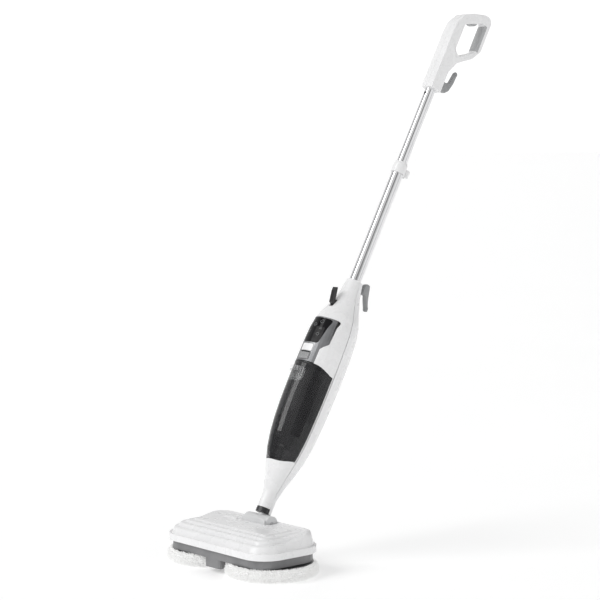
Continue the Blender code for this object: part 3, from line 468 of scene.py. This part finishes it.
# Behind the bracket a slot leaves room for the swivel collar when the pole leans right back
SLOT_HALF, SLOT_FRONT, SLOT_REAR, SLOT_FLOOR = 0.0225, 0.0550, 0.1205, 0.0695
open_window(shell_mesh, (-SLOT_HALF, HEAD_Y + SLOT_FRONT, SLOT_FLOOR),
            (SLOT_HALF, HEAD_Y + SLOT_REAR, 0.13))
shell = add_piece("head_shell", shell_mesh, "head", "white_shell")
wall = shell.modifiers.new("wall", "SOLIDIFY")
wall.thickness = 0.0024
wall.offset = -1
bpy.context.view_layer.update()
apply_modifiers(shell)
shell.data.shade_smooth()
shell.data.set_sharp_from_angle(angle=math.radians(40))
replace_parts(shell, "head_cover")


def pill_mesh(name, x0, x1, y, z, half, rise):
    """A raised bar along X with rounded ends."""
    bm = bmesh.new()
    rows = []
    for u in (-1.0, -0.92, -0.7, -0.35, 0.0, 0.35, 0.7, 0.92, 1.0):
        height = rise * math.sqrt(max(0.0, 1 - u * u))
        row = []
        for k in range(33):
            v = k / 32
            end = min(v, 1 - v) * (x1 - x0)
            pinch = math.sqrt(max(0.0, 1 - (1 - min(end / half, 1.0)) ** 2))
            row.append(bm.verts.new((x0 + (x1 - x0) * v, y + u * half * max(pinch, 0.02),
                                     z + height * pinch)))
        rows.append(row)
    add_grid(bm, rows)
    return mesh_of(bm, name, 60.0)


BAR_LEFT, BAR_RIGHT, BAR_BEHIND, BAR_FOOT = -0.0850, -0.0420, 0.0240, 0.0846
add_piece("cover_bar",
          pill_mesh("cover_bar", BAR_LEFT, BAR_RIGHT, HEAD_Y + BAR_BEHIND, BAR_FOOT, 0.0042, 0.0032),
          "head", "white_shell")

# ---------------------------------------------------------------- handle


def rounded(corners, steps):
    """Corner points (x, y, radius) in order become a polygon with each corner turned into an arc."""
    points = []
    for i, (x, y, radius) in enumerate(corners):
        here = Vector((x, y))
        before = (Vector(corners[i - 1][:2]) - here).normalized()
        after = (Vector(corners[(i + 1) % len(corners)][:2]) - here).normalized()
        if radius <= 0:
            points.append(here)
            continue
        half = before.angle(after) / 2
        centre = here + (before + after).normalized() * (radius / math.sin(half))
        start = here + before * (radius / math.tan(half)) - centre
        sweep = start.angle_signed(here + after * (radius / math.tan(half)) - centre)
        for k in range(steps + 1):
            c, d = math.cos(-sweep * k / steps), math.sin(-sweep * k / steps)
            points.append(centre + Vector((start.x * c - start.y * d, start.x * d + start.y * c)))
    return points


def slab(name, outline, half):
    """The (Y, height) outline in the pole's frame, extruded to both sides of the middle."""
    bm = bmesh.new()
    face = bm.faces.new([bm.verts.new((-half, y, z)) for y, z in outline])
    grown = bmesh.ops.extrude_face_region(bm, geom=[face])
    moved = [v for v in grown["geom"] if isinstance(v, bmesh.types.BMVert)]
    bmesh.ops.translate(bm, vec=(2 * half, 0, 0), verts=moved)
    bmesh.ops.recalc_face_normals(bm, faces=bm.faces)
    obj = bpy.data.objects.new(name, mesh_of(bm, name))
    bpy.context.scene.collection.objects.link(obj)
    return obj


HANDLE_HALF, CUTTER_HALF = 0.0155, 0.03
EDGE_ROUND = 0.0058
GRIP_NARROWING, TAPER_START, TAPER_LENGTH = 0.40, 0.012, 0.055
# Side views in the pole's frame: Y, height and corner radius
HANDLE_OUTLINE = [
    (-0.0143, 0.967, 0), (0.0152, 0.967, 0), (0.0152, 1.0170, 0.030), (0.0300, 1.0470, 0.012),
    (0.0700, 1.0800, 0.012), (0.0850, 1.1060, 0.012), (0.0850, 1.1870, 0.014), (0.0581, 1.1802, 0.030),
    (0.0247, 1.1642, 0.030), (0.0030, 1.1490, 0.020), (-0.0120, 1.1220, 0.030), (-0.0143, 1.0950, 0.030)]
HAND_OPENING = [
    (0.0105, 1.0690, 0.0060), (0.0280, 1.0610, 0.0100), (0.0690, 1.0945, 0.0100),
    (0.0686, 1.1650, 0.0050), (0.0105, 1.1310, 0.0080)]


def handle_form():
    """The whole loop with rounded edges, tapered in width toward the rear grip."""
    form = slab("handle_form", rounded(HANDLE_OUTLINE, 10), HANDLE_HALF)
    hand = slab("hand_opening", rounded(HAND_OPENING, 10), CUTTER_HALF)
    cut = form.modifiers.new("opening", "BOOLEAN")
    cut.operation = "DIFFERENCE"
    cut.solver = "EXACT"
    cut.object = hand
    round_over = form.modifiers.new("round", "BEVEL")
    round_over.width = EDGE_ROUND
    round_over.segments = 7
    round_over.limit_method = "ANGLE"
    round_over.angle_limit = math.radians(60)
    bpy.context.view_layer.update()
    apply_modifiers(form)
    for v in form.data.vertices:
        v.co.x *= 1.0 - GRIP_NARROWING * smooth_step((v.co.y - TAPER_START) / TAPER_LENGTH)
    mesh = form.data
    for obj in (form, hand):
        bpy.data.objects.remove(obj, do_unlink=True)
    return mesh


def sliced(mesh, planes):
    """A copy of a closed mesh, cut by planes (point, normal) and closed again; the normal side goes."""
    bm = bmesh.new()
    bm.from_mesh(mesh)
    for point, normal in planes:
        geometry = bm.verts[:] + bm.edges[:] + bm.faces[:]
        result = bmesh.ops.bisect_plane(bm, geom=geometry, plane_co=point, plane_no=normal,
                                        clear_outer=True, dist=1e-7)
        rim = [g for g in result["geom_cut"] if isinstance(g, bmesh.types.BMEdge)]
        bmesh.ops.triangle_fill(bm, edges=rim, use_beauty=True)
    bmesh.ops.recalc_face_normals(bm, faces=bm.faces)
    return bm


handle_loop = handle_form()
SEAM_HALF = 0.00015
for side, sign in (("left", -1), ("right", 1)):
    half_bm = sliced(handle_loop, [((sign * SEAM_HALF, 0, 0), (-sign, 0, 0))])
    half_bm.transform(POLE)
    half_mesh = mesh_of(half_bm, "handle_shell_" + side, 40.0)
    half_shell = add_piece("handle_shell_" + side, half_mesh, "upper_pole", "white_shell")
    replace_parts(half_shell, "handle_" + side)

# The soft sleeve is the rear grip's inner half, swollen a little to stand proud of the shells
SLEEVE_FRONT, SLEEVE_REAR, SLEEVE_LOW, SLEEVE_HIGH = 0.0652, 0.0765, 1.1000, 1.1600
SLEEVE_SWELL = 1.035
sleeve = sliced(handle_loop, [((0, SLEEVE_FRONT, 0), (0, -1, 0)), ((0, SLEEVE_REAR, 0), (0, 1, 0)),
                              ((0, 0, SLEEVE_LOW), (0, 0, -1)), ((0, 0, SLEEVE_HIGH), (0, 0, 1))])
sleeve_centre = Vector((0, SLEEVE_REAR, (SLEEVE_LOW + SLEEVE_HIGH) / 2))
for v in sleeve.verts:
    v.co = sleeve_centre + (v.co - sleeve_centre) * SLEEVE_SWELL
sleeve.transform(POLE)
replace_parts(add_piece("grip_sleeve", mesh_of(sleeve, "grip_sleeve", 40.0), "upper_pole", "grip_soft"),
            "grip_insert")

# ---------------------------------------------------------------- knuckle front and hook ends


KNUCKLE_HALF, KNUCKLE_TOP, SHOULDER_DROP = 0.0355, 0.0968, 0.0050


def knuckle_front_mesh():
    """A low wall in front of the yoke with rounded shoulders."""
    hinge_y = (bracket_low[1] + bracket_high[1]) / 2
    rings = []
    for x in (-KNUCKLE_HALF, -0.0350, -0.0335, -0.0300, -0.0200, 0.0,
              0.0200, 0.0300, 0.0335, 0.0350, KNUCKLE_HALF):
        top = KNUCKLE_TOP - SHOULDER_DROP * (abs(x) / KNUCKLE_HALF) ** 6
        rings.append([Vector((x, hinge_y + y, z)) for y, z in (
            (-0.0190, 0.0780), (-0.0190, top - 0.0030), (-0.0184, top - 0.0010), (-0.0174, top),
            (-0.0164, top - 0.0008), (-0.0158, top - 0.0030), (-0.0158, 0.0780))])
    bm = skin(rings, caps=True)
    bmesh.ops.recalc_face_normals(bm, faces=bm.faces)
    return mesh_of(bm, "knuckle_front", 50.0)


add_piece("knuckle_front", knuckle_front_mesh(), "head", "pale_grey")


def knob(name, place, radii, body):
    """A rounded swelling of a moulded hook, in the pole's frame."""
    bm = bmesh.new()
    bmesh.ops.create_uvsphere(bm, u_segments=28, v_segments=18, radius=1.0)
    for v in bm.verts:
        v.co = POLE @ Vector([place[i] + v.co[i] * radii[i] for i in range(3)])
    add_piece(name, mesh_of(bm, name, 60.0), body, "hook_grey")


knob("upper_hook_tip", (0.0, 0.0478, 1.0275), (0.0066, 0.0046, 0.0075), "upper_cord_hook")
knob("upper_hook_boss", (0.0, 0.0235, 0.9860), (0.0075, 0.0058, 0.0090), "upper_cord_hook")
knob("lower_hook_tip", (0.0, 0.0545, 0.4825), (0.0064, 0.0042, 0.0062), "lower_cord_hook")

# ---------------------------------------------------------------- control panel details

def on_front(x, height, lift):
    """A world point on the body's front, lifted off its surface."""
    return POLE @ Vector((x, -front_depth(x, height) - lift, height))


GLASS_LIFT = 0.00016


def add_ribbon(bm, outer, inner=None):
    """A flat ring or patch lying on the curved display: outlines are (x, height) lists."""
    rim = [bm.verts.new(on_front(x, z, GLASS_LIFT)) for x, z in outer]
    if inner:
        hole = [bm.verts.new(on_front(x, z, GLASS_LIFT)) for x, z in inner]
        add_grid(bm, [rim, hole], closed=True)
        return
    centre_x = sum(p[0] for p in outer) / len(outer)
    centre_z = sum(p[1] for p in outer) / len(outer)
    hub = bm.verts.new(on_front(centre_x, centre_z, GLASS_LIFT))
    for i in range(len(rim)):
        bm.faces.new((rim[i], rim[(i + 1) % len(rim)], hub))


def polygon(x, z, r, count):
    """A regular polygon with a corner at the top."""
    angles = [math.pi / 2 + math.tau * k / count for k in range(count)]
    return [(x + r * math.cos(angle), z + r * math.sin(angle)) for angle in angles]


# Generic signs: x, height, outer and inner radius, and the number of corners
SIGNS = [
    (-0.0030, 0.3985, 0.0040, 0.0034, 28), (0.0110, 0.4070, 0.0040, 0.0034, 28),
    (0.0135, 0.3920, 0.0030, 0.0021, 3), (0.0125, 0.3790, 0.0032, 0.0026, 28),
    (-0.0145, 0.4075, 0.0030, 0.0024, 28), (-0.0130, 0.3840, 0.0028, 0.0022, 28),
]
STROKE_HALF, STROKE_LOW, STROKE_HIGH = 0.0003, 0.3968, 0.4000
ICON = finish("icon_print", (0.16, 0.165, 0.17), (0.22, 0.225, 0.23), (0.4, 0.5), 400, 0.05)
icons = bmesh.new()
for x, z, outer_radius, inner_radius, count in SIGNS:
    add_ribbon(icons, polygon(x, z, outer_radius, count), polygon(x, z, inner_radius, count))
for x in (-0.0045, -0.0030, -0.0015):
    add_ribbon(icons, [(x - STROKE_HALF, STROKE_LOW), (x + STROKE_HALF, STROKE_LOW),
                       (x + STROKE_HALF, STROKE_HIGH), (x - STROKE_HALF, STROKE_HIGH)])
add_piece("panel_icons", mesh_of(icons, "panel_icons"), "main_body", "white_shell", ICON)

# Ridges across the tank latch, each with sloping sides: sideways offset and lift of its section
RIB_LOW, RIB_HIGH, RIB_PITCH, RIB_COUNT = 0.3232, 0.3362, 0.0028, 9
RIB_SECTION = ((-0.0007, 0.0011), (-0.0004, 0.0021), (0.0004, 0.0021), (0.0007, 0.0011))
ribs = bmesh.new()
for k in range(RIB_COUNT):
    x = RIB_PITCH * (k - (RIB_COUNT - 1) / 2)
    ends = [[ribs.verts.new(on_front(x + dx, z, lift)) for dx, lift in RIB_SECTION]
            for z in (RIB_LOW, RIB_HIGH)]
    add_grid(ribs, ends)
    ribs.faces.new(list(reversed(ends[0])))
    ribs.faces.new(ends[1])
bmesh.ops.recalc_face_normals(ribs, faces=ribs.faces)
add_piece("latch_ribs", mesh_of(ribs, "latch_ribs"), "tank_latch", "light_grey")

# ---------------------------------------------------------------- inside the tank and its filler


def pole_box(bm, low, high):
    """A box in the pole's frame."""
    made = bmesh.ops.create_cube(bm, size=1.0)["verts"]
    for v in made:
        v.co = POLE @ Vector([(low[i] + high[i]) / 2 + v.co[i] * (high[i] - low[i]) for i in range(3)])


# Dark bands down both sides of the tank, just inside its wall, are painted shade that darkens the tank's
# curved sides; with them go a floor plate and two fittings
BAND_LOW, BAND_LENGTH, BAND_INSET = 0.1320, 0.1730, 0.0036
BAND_START, BAND_SWEEP = 47, 24
bands_bm = bmesh.new()
for sign in (-1, 1):
    rows = []
    for k in range(29):
        z = BAND_LOW + BAND_LENGTH * k / 28
        half, front, _ = station(z)
        row = []
        for i in range(9):
            angle = math.radians(BAND_START + BAND_SWEEP * i / 8)
            row.append(bands_bm.verts.new(POLE @ Vector((
                sign * (half - BAND_INSET) * math.sin(angle), -(front - BAND_INSET) * math.cos(angle), z))))
        rows.append(row)
    add_grid(bands_bm, rows)
pole_box(bands_bm, (-0.0200, -0.0280, 0.1240), (0.0200, -0.0080, 0.1256))
pole_box(bands_bm, (0.0190, -0.0420, 0.1380), (0.0250, -0.0360, 0.1440))
pole_box(bands_bm, (0.0200, -0.0440, 0.2340), (0.0235, -0.0400, 0.2375))
# The bands in this piece are painted shade on the tank's sides.
add_piece("tank_bands", mesh_of(bands_bm, "tank_bands"), "tank", "black_plastic")

# A thin dark line across the top of the tank: height and lift of its section
TRIM_SECTION = ((0.3150, 0.0002), (0.3155, 0.0005), (0.3168, 0.0005), (0.3172, 0.0002))
TRIM_HALF, TRIM_STEPS = 0.0330, 40
trim_bm = bmesh.new()
trim_rows = [[trim_bm.verts.new(on_front(TRIM_HALF * (2 * k / TRIM_STEPS - 1), z, lift))
              for k in range(TRIM_STEPS + 1)]
             for z, lift in TRIM_SECTION]
add_grid(trim_bm, trim_rows)
add_piece("tank_trim", mesh_of(trim_bm, "tank_trim", 60.0), "tank", "black_plastic")

# A clear curved tab in front of the filler flap
TAB_LOW, TAB_HEIGHT, TAB_HALF, TAB_LIFT = 0.2955, 0.0075, 0.0165, 0.0112
tab_bm = bmesh.new()
tab_rows = []
for k in range(9):
    z = TAB_LOW + TAB_HEIGHT * k / 8
    bulge = 0.35 * (0.0030 + 0.0050 * math.sin(math.pi * (0.35 + 0.65 * k / 8) / 1.3))
    tab_rows.append([tab_bm.verts.new(on_front(TAB_HALF * (i / 10 - 1), z,
                                               TAB_LIFT + bulge * math.cos(math.pi * (i / 20 - 0.5))))
                     for i in range(21)])
add_grid(tab_bm, tab_rows)
add_piece("flap_tab", mesh_of(tab_bm, "flap_tab", 60.0), "filler_flap", "clear_grey")

# ---------------------------------------------------------------- camera, floor, light

TURN, TILT, DISTANCE = math.radians(48.713), math.radians(5.416), 4.1158
TARGET = Vector((-0.0888, HEAD_Y + 0.2306, 0.5071))
away = Vector((math.sin(TURN) * math.cos(TILT), -math.cos(TURN) * math.cos(TILT), math.sin(TILT)))
camera_data = bpy.data.cameras.new("camera")
camera_data.lens = 120
camera_data.sensor_width = 36
camera = bpy.data.objects.new("camera", camera_data)
camera.location = TARGET + away * DISTANCE
camera.rotation_euler = (math.pi / 2 - TILT, 0, TURN)
bpy.context.scene.collection.objects.link(camera)
bpy.context.scene.camera = camera

FLOOR_RADIUS, FLOOR_DROP = 40.0, -0.0002
floor_mesh = bpy.data.meshes.new("floor")
floor_bm = bmesh.new()
bmesh.ops.create_circle(floor_bm, cap_ends=True, segments=96, radius=FLOOR_RADIUS)
floor_bm.to_mesh(floor_mesh)
floor_bm.free()
floor = bpy.data.objects.new("floor", floor_mesh)
floor.location.z = FLOOR_DROP
bpy.context.scene.collection.objects.link(floor)
floor_look = finish("floor_look", (0.92, 0.92, 0.92), (0.94, 0.94, 0.94), (0.55, 0.65), 40, 0.02, 2.0,
                    Emission_Color=(1, 1, 1, 1), Emission_Strength=0.26)
floor_mesh.materials.append(floor_look)


def sun(name, direction, strength, spread):
    """A broad soft lamp, the same strength over the whole floor."""
    data = bpy.data.lights.new(name, "SUN")
    data.energy = strength
    data.angle = math.radians(spread)
    lamp = bpy.data.objects.new(name, data)
    lamp.rotation_euler = Vector(direction).to_track_quat("-Z", "Y").to_euler()
    bpy.context.scene.collection.objects.link(lamp)


sun("key", (0.30, 0.80, -0.70), 1.20, 35)
sun("rim", (-0.9, 0.1, -0.5), 0.18, 60)

# The studio: white all round, with a few dark gaps between soft boxes for the chrome to reflect
world = bpy.data.worlds.new("studio")
bpy.context.scene.world = world
world.use_nodes = True
sky = world.node_tree
background = sky.nodes["Background"]
coords = sky.nodes.new("ShaderNodeTexCoord")
split = sky.nodes.new("ShaderNodeSeparateXYZ")
turn = sky.nodes.new("ShaderNodeMath")
turn.operation = "ARCTAN2"
scale = sky.nodes.new("ShaderNodeMapRange")
scale.inputs["From Min"].default_value = -math.pi
scale.inputs["From Max"].default_value = math.pi
bands = sky.nodes.new("ShaderNodeValToRGB")
sky.links.new(coords.outputs["Generated"], split.inputs["Vector"])
sky.links.new(split.outputs["Y"], turn.inputs[0])
sky.links.new(split.outputs["X"], turn.inputs[1])
sky.links.new(turn.outputs["Value"], scale.inputs["Value"])
sky.links.new(scale.outputs["Result"], bands.inputs["Fac"])
bands.color_ramp.interpolation = "EASE"
stops = bands.color_ramp.elements
stops[0].color = (1, 1, 1, 1)
stops[1].color = (1, 1, 1, 1)
# Each gap: its angle and half width in degrees, and its brightness
GAPS = ((-128, 13, 0.08), (-20, 12, 0.05), (80, 5, 0.35), (112, 14, 0.08))
FADE = 5
for angle, half, shade in GAPS:
    for offset, value in ((-half - FADE, 1.0), (-half, shade), (half, shade), (half + FADE, 1.0)):
        stop = stops.new((angle + offset + 180) / 360)
        stop.color = (value, value, value, 1)

# The camera itself sees a plain bright white
BACKDROP = 1.45
path = sky.nodes.new("ShaderNodeLightPath")
seen = sky.nodes.new("ShaderNodeMix")
seen.data_type = "RGBA"
whites = [socket for socket in seen.inputs if socket.name in "AB" and socket.type == "RGBA"]
whites[1].default_value = (BACKDROP, BACKDROP, BACKDROP, 1)
sky.links.new(path.outputs["Is Camera Ray"], seen.inputs["Factor"])
sky.links.new(bands.outputs["Color"], whites[0])
result = [socket for socket in seen.outputs if socket.type == "RGBA"][0]
sky.links.new(result, background.inputs["Color"])
background.inputs["Strength"].default_value = 0.76

bpy.context.scene.view_settings.view_transform = "Standard"
